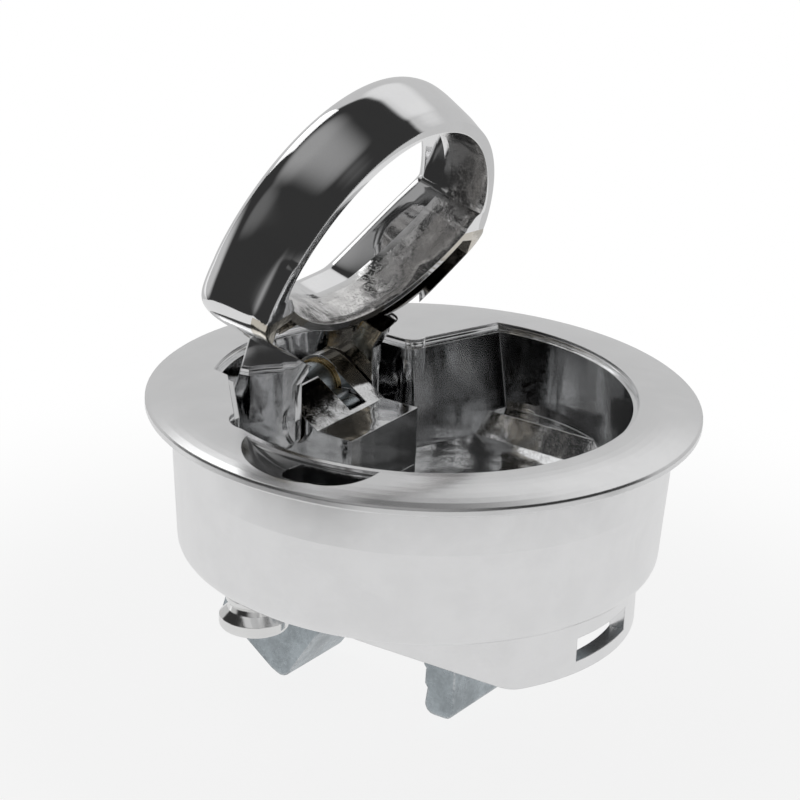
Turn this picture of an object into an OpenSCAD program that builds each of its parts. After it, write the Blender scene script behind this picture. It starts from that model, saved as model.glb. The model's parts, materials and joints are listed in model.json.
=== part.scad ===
// Recessed pull handle: a round die-cast cup with a flange lies in a door, and a ring
// handle lies flush in the cup. Raising the ring turns a shaft with a toothed sector,
// which swings a hook under the cup away from a stepped jaw.
// The origin is the middle of the flange's underside, the plane of the door's face,
// and +Z points out of the door. The hinge is on the -X side and runs along Y.

/* [Flange] */
// Outside diameter of the flange
flange_d = 76; // [74:0.5:90]
// Thickness of the flange at its outer edge
flange_edge = 1.2; // [0.8:0.1:1.6]
// Height that the flange's crown rises to, above its outer edge
crown = 1.3; // [0.8:0.1:2]
// Diameter of the opening at the top of the crown
opening_d = 58.6; // [58:0.1:60]
// Depth of the small step around the opening
step_drop = 1; // [0.6:0.1:1.4]
// Width of the small step around the opening
step_w = 0.8; // [0.5:0.1:1]

/* [Cup] */
// Diameter of the straight land that centres the cup in its hole
land_d = 68.2; // [67:0.1:70]
// Height of that land
land_h = 7; // [5:0.5:9]
// Diameter of the tapered body at its bottom
body_bottom_d = 66.6; // [65.6:0.1:67]
// Depth of the body below the flange's underside
body_h = 20.8; // [20:0.1:22]
// Radius around the bottom edge of the body
bottom_round = 2.2; // [1:0.1:3]
// Depth of the cup's floor below the flange's underside
cup_depth = 12.8; // [12.2:0.1:13.2]
// Thickness of the cup's floor
floor_t = 2.2; // [1.8:0.1:2.4]
// Radius of the hollow under the floor
hollow_r = 30; // [29.6:0.1:30.4]
// Radius of the cup's wall at its foot
cup_r = 28.3; // [28.1:0.1:28.4]
// Radius where the cup's wall meets its floor
cup_round = 2; // [1:0.5:2.5]
// Distance of the banks' feet from the middle
bank_y = 22.7; // [21:0.1:23]
// Height of the banks above the floor
bank_h = 3; // [2:0.1:3.2]

/* [Finger dish] */
// Radius of the dish where it meets the crown
dish_r = 9.4; // [8:0.1:9.6]
// Depth of the dish
dish_depth = 2.4; // [1.6:0.1:2.4]
// Radius of the pocket behind the lip
pocket_r = 6.6; // [5:0.1:6.8]
// Depth of the pocket below the flange's underside
pocket_depth = 5; // [3:0.5:8]
// Width of the lip between the opening and the pocket
lip_w = 0.9; // [0.8:0.1:1.4]

/* [Lower boss] */
// Radius of the boss's rounded outer wall
boss_r = 30.6; // [30.2:0.1:31]
// Half width of the boss
boss_half_w = 16.3; // [15:0.1:18]
// Where the boss starts, towards the jaw side
boss_x0 = 1; // [0.5:0.1:1.5]
// Height of the boss below the body
boss_h = 8; // [7.5:0.1:9.5]
// Thickness of the boss's wall
boss_wall = 2.2; // [1.8:0.1:2.5]
// Radius of the boss's two outer corners
boss_round = 3; // [2.4:0.2:4]
// Width of the window in the boss's wall
window_w = 12.6; // [8:0.2:14]
// Height of the window
window_h = 3.4; // [2:0.1:3.6]
// Distance from the boss's bottom edge up to the window
window_up = 1.7; // [1.2:0.1:2.2]

/* [Hinge] */
// Hinge axis, distance from the middle
hinge_x = -20.9; // [-21:0.1:-20.6]
// Hinge axis, height
hinge_z = -3.4; // [-3.6:0.1:-3.2]
// Angle that the handle stands at in the photographed pose
raise = 72; // [60:1:76]
// Diameter of the shaft
shaft_d = 4; // [3.6:0.1:4.2]
// Radial clearance of the shaft in its bushes
run_fit = 0.04; // [0.02:0.01:0.08]
// Half width of the hollow between the two lugs
lug_in = 5; // [4.9:0.1:5.2]
// Thickness of each lug
lug_t = 3.1; // [2.9:0.1:3.1]
// Radius of each lug around the shaft
lug_r = 4.2; // [4:0.1:4.3]
// Outside diameter of the brass bushes
bush_d = 5.6; // [5.2:0.1:5.8]
// Diameter of the bushes' collars
bush_collar_d = 7.4; // [7:0.1:7.8]
// Front face of the hinge block
block_front = -6.2; // [-6.6:0.1:-6.1]
// Top face of the hinge block
block_top = -4.3; // [-4.8:0.1:-4.2]

/* [Ring handle] */
// Radius of the ring's far edge
ring_r = 28; // [27.4:0.1:28.1]
// Radius of the finger hole's far edge, at the rim
hole_r = 24; // [23.6:0.1:24.2]
// Radius of the finger hole's far edge, at the top
hole_top_r = 22.9; // [22.4:0.1:23.2]
// Height of the ring from rim to crown
ring_h = 11.3; // [10.8:0.1:11.5]
// Where the finger hole starts, on the hinge side
hole_x0 = -3.4; // [-3.8:0.1:-3.2]
// Radius of the finger hole's flat side
hole_flat_r = 34; // [33:0.5:36]
// Thickness of each leg
leg_t = 2.2; // [2:0.1:2.3]
// Gap between leg and lug, which a shim fills
leg_gap = 0.4; // [0.35:0.01:0.45]
// Radius of the legs' round ends
leg_r = 4.4; // [4.2:0.1:4.5]
// Depth of the legs' feet below the shaft
foot_h = 7.1; // [6.6:0.1:7.3]

/* [Toothed drive] */
// Module of the teeth
tooth_m = 0.9; // [0.88:0.01:0.9]
// Teeth on a full circle of the drive sector
drive_teeth = 15; // [15:1:15]
// Teeth on a full circle of the hook's sector
hook_teeth = 24; // [24:1:24]
// Play between the teeth
backlash = 0.18; // [0.14:0.01:0.24]
// Width of the drive sector's teeth
drive_w = 3.4; // [3:0.1:3.6]
// Width of the hook's teeth
hook_gear_w = 2.8; // [2.4:0.1:3]
// Lean of the line from the shaft to the hook's pin
centre_lean = 13.5; // [13:0.1:14]

/* [Hook and jaw] */
// Width of the hook and of the jaw
claw_w = 13; // [11:0.1:13.2]
// Length from the hook's pin to its nose
hook_reach = 23.4; // [20:0.1:24]
// Radius of the hook's hub
hook_hub_r = 4.2; // [4:0.1:4.3]
// Diameter of the hook's pin
hook_pin_d = 4; // [3.6:0.1:4.2]
// Thickness of the lugs that hold the hook's pin
hook_lug_t = 3; // [2.6:0.1:3.2]
// Gap at each side of the hook
hook_gap = 0.5; // [0.4:0.05:0.6]
// Stepped face of the jaw
jaw_x = 5; // [4.9:0.1:6]
// Thickness of the jaw
jaw_t = 6.2; // [5.6:0.1:6.6]
// Depth of the jaw's tip below the flange's underside
jaw_depth = 41.9; // [38:0.1:43]
// Thickness of the jaw's foot
jaw_foot_t = 3.2; // [2.8:0.1:3.6]
// Height of one step on the jaw
jaw_step = 2.8; // [2.4:0.1:3]

/* [Fasteners] */
// Diameter of the two mounting screws
mount_screw_d = 4; // [3.6:0.1:4.2]
// Diameter of the wells for the mounting screws' heads
well_d = 8; // [7.8:0.1:8.2]
// Diameter of the mounting screws' heads
mount_head_d = 7; // [6.6:0.1:7.2]
// Flange diameter of the mounting nuts
nut_flange_d = 9.6; // [9:0.1:10]
// Diameter of the jaw's screws
jaw_screw_d = 4; // [3.6:0.1:4]

/* [Hidden] */
$fn = 96;

flange_r = flange_d / 2;
crown_z = flange_edge + crown;
opening_r = opening_d / 2;
step_r = opening_r - step_w;
step_z = crown_z - step_drop;
land_r = land_d / 2;
bottom_r = body_bottom_d / 2;
floor_z = -cup_depth;
hollow_z = floor_z - floor_t;
boss_z = -body_h - boss_h;
lug_out = lug_in + lug_t;
leg_in = lug_out + leg_gap;
leg_out = leg_in + leg_t;
shaft_r = shaft_d / 2;
bush_bore_r = shaft_r + run_fit;

// The drive: two pitch circles that touch, and the hook's pin on the line between them.
drive_r = drive_teeth * tooth_m / 2;
hook_r = hook_teeth * tooth_m / 2;
centre_dist = drive_r + hook_r;
pin_x = hinge_x + centre_dist * sin(centre_lean);
pin_z = hinge_z - centre_dist * cos(centre_lean);
to_pin = -90 + centre_lean;
to_shaft = 90 + centre_lean;
drive_y = 0.8;
drive_hub_r = 3.4;
slot_gap = 0.3;
trough_r = 4.25;
hook_gear_y = drive_y + (drive_w - hook_gear_w) / 2;

// Levels of the handle as it lies closed.
ring_top = hinge_z + 5.2;
ring_rim = ring_top - ring_h;
near_flare_x = 12;
far_flare_x = 2.5;
plate_t = 2;
neck_x = -11;
hole_mid_x = 6;
funnel_a = 32.3;
funnel_d = 14.6;
hole_funnel_a = 27.9;
hole_funnel_d = 5;
shell_t = 1.3;
hollow_y = 20.8;
hollow_tip = [1.4, 23.4];
tip_a = 91;
tip_recess = 0.4;
blind_wall = 0.7;
rib_z = block_top + 0.6;

// Mounting screws: the near one is cut into the cup's wall, the far one has its own well.
near_screw = [-10.8, -23.3];
far_screw = [-21.6, 18.4];
pillar_at = [-12.2, 15.6];
far_wall_at = [-10.9, 15];
far_wall_turn = 21.7;
far_wall_lean = 8;
dish_at = [1.3, -27.3];
pocket_at = [4.9, -28.6];
jaw_head_d = 6.4;
jaw_screw_x = [15.1, 22];
jaw_pad_z = hollow_z - 3.2;
jaw_foot_z = jaw_pad_z - jaw_foot_t;

// Points of an arc, from angle a to angle b, in n equal steps.
function arc(cx, cy, r, a, b, n) =
  [for (i = [0:n]) [cx + r * cos(a + (b - a) * i / n), cy + r * sin(a + (b - a) * i / n)]];

// Distance from the hole's middle to a circle on the X axis, in direction a.
function to_circle(cx, r, a) =
  let (dx = cx - hole_mid_x) dx * cos(a) + sqrt(r * r - pow(dx * sin(a), 2));

// Distance from the hole's middle to a straight edge whose normal points along n, d from
// the origin, in direction a.
function to_edge(n, d, a) =
  let (c = cos(n - a)) c > 0.02 ? (d - hole_mid_x * cos(n)) / c : 1000;

// Smallest of several distances, with the corners between them rounded.
function soft_min(v, p) = pow(sum_of([for (x = v) pow(x, -p)]), -1 / p);
function sum_of(v, i = 0) = i == len(v) ? 0 : v[i] + sum_of(v, i + 1);

function ring_out(a) = soft_min([to_circle(0, ring_r, a), to_edge(180 + funnel_a, funnel_d, a),
  to_edge(180 - funnel_a, funnel_d, a), to_edge(180, -neck_x, a)], 20);

// The finger hole at the rim, a wide D, and at the top, where it has straight flanks. Its
// wall is recessed at the tip, and a small ridge ends the recess on each side.
function ring_in(a) = soft_min([to_circle(0, hole_r, a),
  to_circle(hole_x0 + hole_flat_r, hole_flat_r, a)], 18);
function ring_top_in(a) = soft_min([to_circle(0, hole_top_r, a),
  to_edge(180 + hole_funnel_a, hole_funnel_d, a), to_edge(180 - hole_funnel_a, hole_funnel_d, a),
  to_edge(180, -hole_x0, a)], 40);
function recess(a) = let (b = abs(a > 180 ? a - 360 : a))
  b < tip_a ? tip_recess : b < tip_a + 5 ? -0.5 : 0;

// How far a flank of the neck, moved inwards by inset, lies from the middle at y.
function flank_x(y, inset) = (y * sin(funnel_a) - funnel_d + inset) / cos(funnel_a);

// Section of the ring, from the hole's wall outwards. w is its width at the rim, t is how
// far the wall leans inwards on its way up, flare is 1 where the outer wall stands upright
// instead of drawing in to the rim, and k narrows the rounded edges where the ring is thin.
function ring_section(w, t, flare) = let (k = min(1, w / 4.2)) [[0, ring_rim + 0.4],
  [-t * 0.5, ring_rim + 5.7], [-t * 0.85, ring_top - 2], [0.1 * k - t * 0.95, ring_top - 1.2],
  [0.6 * k - t, ring_top - 0.5], [1.5 * k - t, ring_top - 0.15], [w - 2.6 * k, ring_top],
  [w - 1.3 * k, ring_top - 0.35], [w - 0.5 * k, ring_top - 1], [w, ring_top - 2.3],
  [w, ring_top - 3.8], [w - 0.4 + 0.2 * flare, ring_top - 5.4],
  [w - 1.2 + 0.7 * flare, ring_rim + 3], [w - 1.5 + 0.9 * flare, ring_rim + 1],
  [w - 1.7 + flare, ring_rim], [0.4 * k, ring_rim]];

ring_steps = 120;
ring_points = [for (i = [0:ring_steps - 1])
  let (a = 360 * i / ring_steps, r = ring_in(a) + recess(a), w = ring_out(a) - r,
       x = hole_mid_x + (r + w) * cos(a),
       flare = x < (a > 180 ? near_flare_x : far_flare_x) ? 1 : 0)
  for (p = ring_section(w, r - ring_top_in(a), flare))
    [hole_mid_x + (r + p[0]) * cos(a), (r + p[0]) * sin(a), p[1]]];
section_n = len(ring_section(5, 0, 0));
ring_faces = [for (i = [0:ring_steps - 1]) for (j = [0:section_n - 1])
  let (a = i * section_n, b = (i + 1) % ring_steps * section_n, j2 = (j + 1) % section_n)
  for (f = [[a + j, b + j2, a + j2], [a + j, b + j, b + j2]]) f];

// Half angle of a gear tooth at radius r, in degrees.
function involute(r, base) = r <= base ? 0 : let (c = acos(base / r)) tan(c) - c * PI / 180;
function tooth_half(r, pitch_r, teeth) =
  let (base = pitch_r * cos(20))
  (PI / (2 * teeth) - backlash / 4 / pitch_r + involute(pitch_r, base) - involute(r, base))
  * 180 / PI;
function polar(r, a) = [r * cos(a), r * sin(a)];
function tooth(pitch_r, teeth, a) =
  let (radii = [pitch_r - 1.25 * tooth_m, pitch_r - 0.4 * tooth_m, pitch_r,
                pitch_r + 0.5 * tooth_m, pitch_r + 0.95 * tooth_m])
  concat([for (r = radii) polar(r, a - tooth_half(r, pitch_r, teeth))],
         [for (k = [4:-1:0]) polar(radii[k], a + tooth_half(radii[k], pitch_r, teeth))]);
// Outline of a sector: its teeth stand at first, first + pitch and so on.
function sector(pitch_r, teeth, first, n, hub) =
  let (pitch = 360 / teeth, root = pitch_r - 1.25 * tooth_m, last = first + (n - 1) * pitch)
  concat([polar(hub, first - pitch * 0.45), polar(root, first - pitch * 0.45)],
         [for (k = [0:n - 1]) for (p = tooth(pitch_r, teeth, first + k * pitch)) p],
         [polar(root, last + pitch * 0.45), polar(hub, last + pitch * 0.45)],
         arc(0, 0, hub, last + pitch * 0.45 + 20, first - pitch * 0.45 + 340, 12));

// A cylinder along Y, from y0 to y1, at x and z.
module rod(x, z, r, y0, y1) {
  translate([x, y0, z]) rotate([-90, 0, 0]) cylinder(r = r, h = y1 - y0);
}

// A flat outline in X and Z, from y0 to y1.
module slab(points, y0, y1) {
  translate([0, y1, 0]) rotate([90, 0, 0]) linear_extrude(y1 - y0) polygon(points);
}

// An upright cylinder from z0 to z1.
module post(x, y, r, z0, z1) {
  translate([x, y, z0]) cylinder(r = r, h = z1 - z0);
}

// A box from one corner to the other.
module box(a, b) {
  translate(a) cube(b - a);
}

function boss_outline(r, w, x0, round) =
  let (cx = sqrt(pow(r - round, 2) - pow(w - round, 2)), a = atan((w - round) / cx))
  concat([[x0, -w]], arc(cx, -(w - round), round, -90, -a, 6), arc(0, 0, r, -a, a, 24),
         arc(cx, w - round, round, a, 90, 6), [[x0, w]]);

// The casting's outer form, full across the opening.
module cup_outer() {
  crown_run = flange_r - opening_r;
  crown_pts = [for (i = [0:8])
    let (t = i / 8) [flange_r - 0.3 - (crown_run - 0.3) * t,
                     flange_edge + crown * (1 - pow(1 - t, 2))]];
  rotate_extrude() polygon(concat(
    [[0, -body_h]],
    arc(bottom_r - bottom_round, -body_h + bottom_round, bottom_round, -90, 0, 6),
    [[land_r, -land_h], [land_r, 0], [flange_r - 0.25, 0], [flange_r, 0.25],
     [flange_r, flange_edge - 0.25]],
    crown_pts, [[0, crown_z]]));
}

// The open space of the cup, which widens in a small step at its top. The step runs along
// the two fills as well.
module cup_space() {
  difference() {
    rotate_extrude() polygon(concat([[0, floor_z]],
      arc(cup_r - cup_round, floor_z + cup_round, cup_round, -90, 0, 5),
      [[step_r, step_z], [0, step_z]]));
    cup_fills(0);
  }
  difference() {
    post(0, 0, opening_r, step_z - 0.01, crown_z + 1);
    cup_fills(step_w);
  }
}

// What fills the cup at its two sides: the far corner, with a round pillar and a wall that
// leans back, and the near chord. Both step back by inset.
module cup_fills(inset) {
  translate([-0.7, 0.94, 0] * inset) {
    translate([0, 0, floor_z - 1]) linear_extrude(crown_z - floor_z + 1)
      polygon([[-40, pillar_at[1] - 2], [pillar_at[0], pillar_at[1] - 2], pillar_at,
        [-8.5, 26], [-8.5, 40], [-40, 40]]);
    translate([pillar_at[0], pillar_at[1], floor_z - 1])
      cylinder(r1 = 3, r2 = 1.8, h = crown_z - floor_z + 1);
    translate([far_wall_at[0], far_wall_at[1], crown_z]) rotate([0, 0, -far_wall_turn])
      rotate([0, -far_wall_lean, 0]) box([-8, -1.2, -20], [0, 24, 2]);
  }
  translate([-0.76, -0.65, 0] * inset) translate([0, 0, floor_z - 1])
    linear_extrude(crown_z - floor_z + 1)
      polygon([[-26.6, -11.6], [-23.2, -12.4], [-9.6, -28.4], [-9, -34], [-20, -36], [-36, -16]]);
}

module banks() {
  for (s = [-1, 1]) mirror([0, s < 0 ? 1 : 0, 0])
    translate([-5.6, 0, 0]) rotate([90, 0, 90]) linear_extrude(40)
      polygon([[bank_y, floor_z - 1], [bank_y, floor_z], [bank_y + bank_h * 0.9,
        floor_z + bank_h], [40, floor_z + bank_h], [40, floor_z - 1]]);
}

// Side outline of the hinge block with its lug around the shaft.
module hinge_block() {
  dx = block_front - 5.7 - hinge_x;
  dz = block_top - hinge_z;
  tangent = atan2(dz, dx) + acos(lug_r / norm([dx, dz]));
  slab(concat([[-31, floor_z - 1], [block_front, floor_z - 1], [block_front, block_top],
    [block_front - 5.7, block_top]], arc(hinge_x, hinge_z, lug_r, tangent, 180, 10),
    [[-31, hinge_z]]), -lug_out, lug_out);
}

// Trough in the hinge block for the shaft, and the slot for the two toothed sectors.
module drive_slot() {
  y0 = drive_y - slot_gap;
  y1 = drive_y + drive_w + slot_gap;
  rod(hinge_x, hinge_z, trough_r, -lug_in, lug_in);
  rod(hinge_x, hinge_z, drive_r + 1.7, y0, y1);
  box([hinge_x - drive_r - 1.3, y0, hinge_z], [block_front - 5.7, y1, 6]);
  intersection() {
    rod(pin_x, pin_z, hook_r + 1.5, y0, y1);
    box([-28.6, y0, -16], [block_front - 1.7, y1, block_top]);
  }
}

// The hollow under the floor, with the posts, ribs and pads that stand in it.
module under_space() {
  difference() {
    post(0, 0, hollow_r, -body_h - 1, hollow_z);
    for (p = [near_screw, far_screw]) post(p[0], p[1], 4.4, -body_h - 2, 0);
    for (a = [62, 90, 118, 242, 270, 298]) rotate([0, 0, a])
      box([13, -0.8, hollow_z - 3.4], [34, 0.8, 0]);
  }
}

module boss_space() {
  difference() {
    translate([0, 0, boss_z - 1]) linear_extrude(hollow_z - boss_z + 1)
      polygon(boss_outline(boss_r - boss_wall, boss_half_w - boss_wall, boss_x0 + boss_wall,
        boss_round - 1));
    box([boss_x0, -claw_w / 2 - 1, jaw_pad_z], [26.4, claw_w / 2 + 1, 0]);
  }
}

module hook_lugs() {
  for (s = [-1, 1]) mirror([0, s < 0 ? 1 : 0, 0]) {
    y0 = claw_w / 2 + hook_gap;
    slab(concat([[pin_x - 5.6, hollow_z + 0.6]], arc(pin_x, pin_z, 4.2, 180, 360, 12),
      [[pin_x + 5.6, hollow_z + 0.6]]), y0, y0 + hook_lug_t);
  }
}

// Shallow dish in the flange for a fingertip, which runs into a pocket behind the lip.
// The dish is part of a sphere that meets the crown in a circle of radius dish_r.
module scoop() {
  r = (dish_r * dish_r + dish_depth * dish_depth) / 2 / dish_depth;
  difference() {
    union() {
      translate([dish_at[0], dish_at[1], crown_z - dish_depth - 0.5 + r]) sphere(r = r);
      post(pocket_at[0], pocket_at[1], pocket_r, flange_edge - 0.9, crown_z + 1);
      intersection() {
        post(pocket_at[0], pocket_at[1], pocket_r, -pocket_depth, crown_z);
        post(0, 0, land_r - 1.2, -pocket_depth, crown_z);
      }
    }
    post(0, 0, opening_r + lip_w, -body_h, crown_z + 1);
  }
}

module cup_housing() {
  color("gainsboro") difference() {
    union() {
      difference() {
        union() {
          difference() {
            cup_outer();
            difference() {
              cup_space();
              banks();
              hinge_block();
            }
            under_space();
          }
          translate([0, 0, boss_z]) linear_extrude(hollow_z - boss_z + 0.6)
            polygon(boss_outline(boss_r, boss_half_w, boss_x0, boss_round));
          hook_lugs();
        }
        boss_space();
      }
    }
    drive_slot();
    scoop();
    for (s = [-1, 1]) rod(hinge_x, hinge_z, bush_d / 2, s < 0 ? -lug_out - 1 : lug_in - 1,
      s < 0 ? -lug_in + 1 : lug_out + 1);
    rod(pin_x, pin_z, hook_pin_d / 2, -claw_w, claw_w);
    post(near_screw[0], near_screw[1], well_d / 2, floor_z, crown_z + 1);
    post(far_screw[0], far_screw[1], well_d / 2, floor_z, crown_z + 1);
    for (p = [near_screw, far_screw]) post(p[0], p[1], mount_screw_d / 2 + 0.2,
      -body_h - 1, floor_z + 1);
    for (x = jaw_screw_x) post(x, 0, jaw_screw_d / 2, jaw_pad_z - 1, hollow_z + 1);
    box([boss_r - boss_wall - 3, -window_w / 2, boss_z + window_up],
        [boss_r + 3, window_w / 2, boss_z + window_up + window_h]);
  }
}

// Flanged plain bush, collar towards the middle.
module hinge_bush(side) {
  color("goldenrod") mirror([0, side < 0 ? 1 : 0, 0]) difference() {
    union() {
      rod(hinge_x, hinge_z, bush_d / 2, lug_in, lug_out);
      rod(hinge_x, hinge_z, bush_collar_d / 2, lug_in - 0.5, lug_in);
    }
    rod(hinge_x, hinge_z, bush_bore_r, lug_in - 1, lug_out + 1);
  }
}

// Side outline of a leg as the handle lies closed, around its foot and round end.
function leg_outline() = concat([[-8.5, ring_rim + 0.6], [-8.5, ring_top - 0.5],
  [hinge_x + 2, hinge_z + leg_r - 0.2]], arc(hinge_x, hinge_z, leg_r, 84, 200, 12),
  [[hinge_x - 3.4, hinge_z - 4.6], [hinge_x - 1.6, hinge_z - foot_h + 0.4],
   [hinge_x, hinge_z - foot_h], [hinge_x + 7.6, hinge_z - 4.45]]);

// Hollow under the neck, open between the legs.
module neck_space() {
  r = hole_flat_r + shell_t;
  cx = hole_x0 + hole_flat_r;
  wall = [for (i = [-4:4]) let (y = hollow_y * i / 4) [cx - sqrt(r * r - y * y), y]];
  translate([0, 0, ring_rim - 1]) linear_extrude(ring_h + 1 - plate_t)
    polygon(concat([[-30, -leg_in], [flank_x(leg_in, shell_t), -leg_in],
      [flank_x(hollow_tip[1], shell_t), -hollow_tip[1]], [hollow_tip[0], -hollow_tip[1]]],
      wall, [hollow_tip, [flank_x(hollow_tip[1], shell_t), hollow_tip[1]],
      [flank_x(leg_in, shell_t), leg_in], [-30, leg_in]]));
}

module handle_closed() {
  difference() {
    union() {
      polyhedron(ring_points, ring_faces, 6);
      for (s = [-1, 1]) mirror([0, s < 0 ? 1 : 0, 0])
        slab(leg_outline(), leg_in, leg_out);
    }
    neck_space();
    rod(hinge_x, hinge_z, shaft_r, -leg_out + blind_wall, leg_out + 1);
    for (s = [-1, 1]) mirror([0, s < 0 ? 1 : 0, 0])
      rod(hinge_x + 2.8, hinge_z - 8, 3.6, leg_out - 0.5, leg_out + 1);
  }
  for (y = [-5.6, 0.4]) slab([[-11, ring_top - plate_t - 0.2], [-3.6, ring_top - plate_t - 0.2],
    [-3.6, rib_z], [-6.5, rib_z]], y, y + 1);
}

// Turns a closed piece to the raised pose.
module raised() {
  translate([hinge_x, 0, hinge_z]) rotate([0, -raise, 0]) translate([-hinge_x, 0, -hinge_z])
    children();
}

module ring_handle() {
  color("silver") raised() handle_closed();
}

// The shaft turns with the handle. It ends blind in the near leg and flush in the far one,
// and the sector's cross pin holds it.
module hinge_shaft() {
  color("lightgray") difference() {
    rod(hinge_x, hinge_z, shaft_r, -leg_out + blind_wall, leg_out);
    rotate_sector_pin() cylinder(r = 0.75, h = 12, center = true);
  }
}

module rotate_sector_pin() {
  translate([hinge_x, -2.2, hinge_z]) rotate([0, 40, 0]) children();
}

module drive_sector() {
  y0 = -lug_in + 0.6;
  color("darkgray") difference() {
    union() {
      rod(hinge_x, hinge_z, drive_hub_r, y0, -y0);
      translate([hinge_x, 0, hinge_z])
        slab(sector(drive_r, drive_teeth, to_pin - 24, 5, 3), drive_y, drive_y + drive_w);
    }
    rod(hinge_x, hinge_z, shaft_r, -lug_in, lug_in);
    rotate_sector_pin() cylinder(r = 0.75, h = 12, center = true);
  }
}

module sector_pin() {
  color("dimgray") rotate_sector_pin()
    cylinder(r = 0.75, h = 2 * drive_hub_r - 0.2, center = true);
}

module friction_shim(side) {
  color("gray") mirror([0, side < 0 ? 1 : 0, 0]) difference() {
    rod(hinge_x, hinge_z, 3.9, lug_out + 0.05, leg_in - 0.05);
    rod(hinge_x, hinge_z, shaft_r, lug_out, leg_in);
  }
}

// Spring clip with an open side, in the X-Z plane.
module open_clip(x, z, y0, turn) {
  difference() {
    rod(x, z, 3.4, y0, y0 + 0.6);
    rod(x, z, shaft_r - 0.4, y0 - 1, y0 + 2);
    translate([x, 0, z]) rotate([0, turn, 0]) box([0, y0 - 1, -1.1], [6, y0 + 2, 1.1]);
  }
}

function hook_outline() = let (s = hook_reach / 23)
  concat(arc(0, 0, hook_hub_r, -8, 188, 16),
    [[-5.6, -5 * s], [-10.7, -12.2 * s], [-11.7, -15.6 * s], [-7.9, -18.7 * s],
     [-2.8, -22.3 * s]], arc(-1, -21.4 * s, 1.6, 240, 330, 4),
    [[6.3, -13 * s], [7.2, -9.6 * s]]);

module latch_hook() {
  w = claw_w / 2;
  color("lightsteelblue") translate([pin_x, 0, pin_z]) difference() {
    union() {
      slab(hook_outline(), -w, w);
      slab(sector(hook_r, hook_teeth, to_shaft - 52.5, 5, 3.6), hook_gear_y,
        hook_gear_y + hook_gear_w);
    }
    rod(0, 0, 2.8, -w - 1, w + 1);
    translate([-20, w, -hook_reach - 1]) rotate([-24, 0, 0]) box([0, -2, -8], [40, 14, 0]);
  }
}

module hook_sleeve() {
  color("goldenrod") difference() {
    rod(pin_x, pin_z, 2.8, -claw_w / 2, claw_w / 2);
    rod(pin_x, pin_z, hook_pin_d / 2 + run_fit, -claw_w, claw_w);
  }
}

module hook_pin() {
  y = claw_w / 2 + hook_gap + hook_lug_t;
  color("lightgray") difference() {
    union() {
      rod(pin_x, pin_z, hook_pin_d / 2, -y, y + 1.7);
      rod(pin_x, pin_z, 3, -y - 1.1, -y);
    }
    difference() {
      rod(pin_x, pin_z, 4, y + 0.3, y + 1.1);
      rod(pin_x, pin_z, hook_pin_d / 2 - 0.4, y, y + 2);
    }
  }
}

module hook_pin_clip() {
  color("dimgray") open_clip(pin_x, pin_z, claw_w / 2 + hook_gap + hook_lug_t + 0.4, 60);
}

// Jaw: an angle with a foot under the boss's pad and a stepped face towards the hook.
function jaw_outline() =
  let (steps = floor((jaw_depth + jaw_foot_z - 2) / jaw_step), z0 = jaw_foot_z)
  concat([[jaw_x, jaw_pad_z]],
    [for (i = [0:steps - 1]) for (p = [[jaw_x + 0.3 * i, z0 - jaw_step * i],
      [jaw_x + 0.3 * i - 0.05, z0 - jaw_step * (i + 0.75)],
      [jaw_x + 0.3 * i + 0.4, z0 - jaw_step * (i + 0.95)]]) p],
    arc(jaw_x + 3.1, -jaw_depth + 1.5, 1.5, 180, 270, 4),
    arc(jaw_x + jaw_t - 1.2, -jaw_depth + 1.2, 1.2, 270, 360, 4),
    [[jaw_x + jaw_t, jaw_foot_z], [25.6, jaw_foot_z], [25.6, jaw_pad_z]]);

module stepped_jaw() {
  w = claw_w / 2;
  color("lightsteelblue") difference() {
    slab(jaw_outline(), -w, w);
    for (x = jaw_screw_x) post(x, 0, jaw_screw_d / 2 + 0.2, jaw_foot_z - 1, jaw_pad_z + 1);
    translate([0, 1, -jaw_depth - 1]) rotate([10, 0, 0]) box([0, -2, -6], [30, 14, 0.4]);
  }
}

// Pan head with a hexagon socket, shank upwards. z0 is the face under the head.
module pan_screw(x, y, d, head_d, head_h, z0, tip, up) {
  translate([x, y, z0]) mirror([0, 0, up ? 0 : 1]) difference() {
    union() {
      cylinder(r = d / 2, h = tip);
      translate([0, 0, -head_h]) rotate_extrude() polygon(concat([[0, head_h]],
        [[head_d / 2, head_h]], arc(head_d / 2 - head_h * 0.6, head_h * 0.6, head_h * 0.6,
          0, -90, 5), [[0, 0]]));
    }
    translate([0, 0, -head_h - 1]) cylinder(r = head_d * 0.24, h = 2.6, $fn = 6);
  }
}

module jaw_screw(i) {
  color("lightgray") pan_screw(jaw_screw_x[i], 0, jaw_screw_d, jaw_head_d, 2.4,
    jaw_foot_z - 0.8, jaw_foot_t + 0.8 + 2.9, true);
}

// Split spring washer.
module lock_washer(x) {
  color("darkgray") difference() {
    post(x, 0, jaw_head_d / 2 - 0.1, jaw_foot_z - 0.8, jaw_foot_z);
    post(x, 0, jaw_screw_d / 2, jaw_foot_z - 1, jaw_foot_z + 1);
    translate([x, 0, 0]) rotate([0, 0, 30]) box([0, -0.25, jaw_foot_z - 1],
      [5, 0.25, jaw_foot_z + 1]);
  }
}

nut_z = -body_h - 4.4;
nut_bottom = nut_z - 2.4;

module mount_screw(p) {
  color("lightgray") pan_screw(p[0], p[1], mount_screw_d, mount_head_d, 2.6,
    floor_z + 0.8, floor_z + 0.8 - nut_bottom - 0.6, false);
}

module mount_washer(p) {
  color("lightgray") difference() {
    post(p[0], p[1], well_d / 2 - 0.2, floor_z, floor_z + 0.8);
    post(p[0], p[1], mount_screw_d / 2, floor_z - 1, floor_z + 2);
  }
}

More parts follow.
